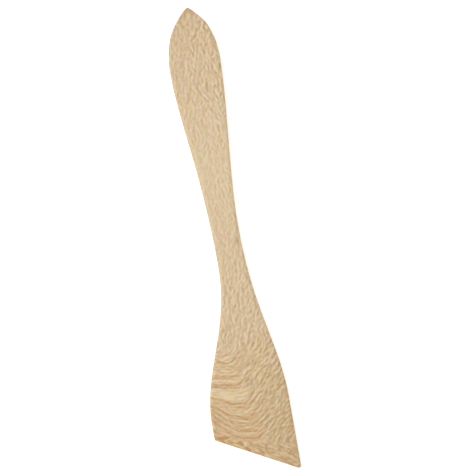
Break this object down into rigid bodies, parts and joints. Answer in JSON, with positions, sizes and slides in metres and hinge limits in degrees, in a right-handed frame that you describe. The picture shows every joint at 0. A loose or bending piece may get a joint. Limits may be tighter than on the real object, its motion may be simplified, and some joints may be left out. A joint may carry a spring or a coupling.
{
  "type": "clay modeling tool",
  "caption": "Flat one-piece wooden modeling tool: a leaf-shaped handle ending in a point, a slim waist, and a flared thin blade with a slanted working edge.",
  "frame": {"origin": "centre of the bounding box in plan, on the flat back that the tool rests on", "axes": "+Y along the tool towards the handle's point, +Z out of the face, away from the flat back; the blade's toe is on the +X side and its heel on the -X side"},
  "size_m": [0.0342, 0.2, 0.0055],
  "materials": {
    "bare_wood": "sanded, unvarnished, pale wood with small dark ray flecks"
  },
  "bodies": {
    "root": {"tool_body": "bare_wood"}
  },
  "joints": []
}
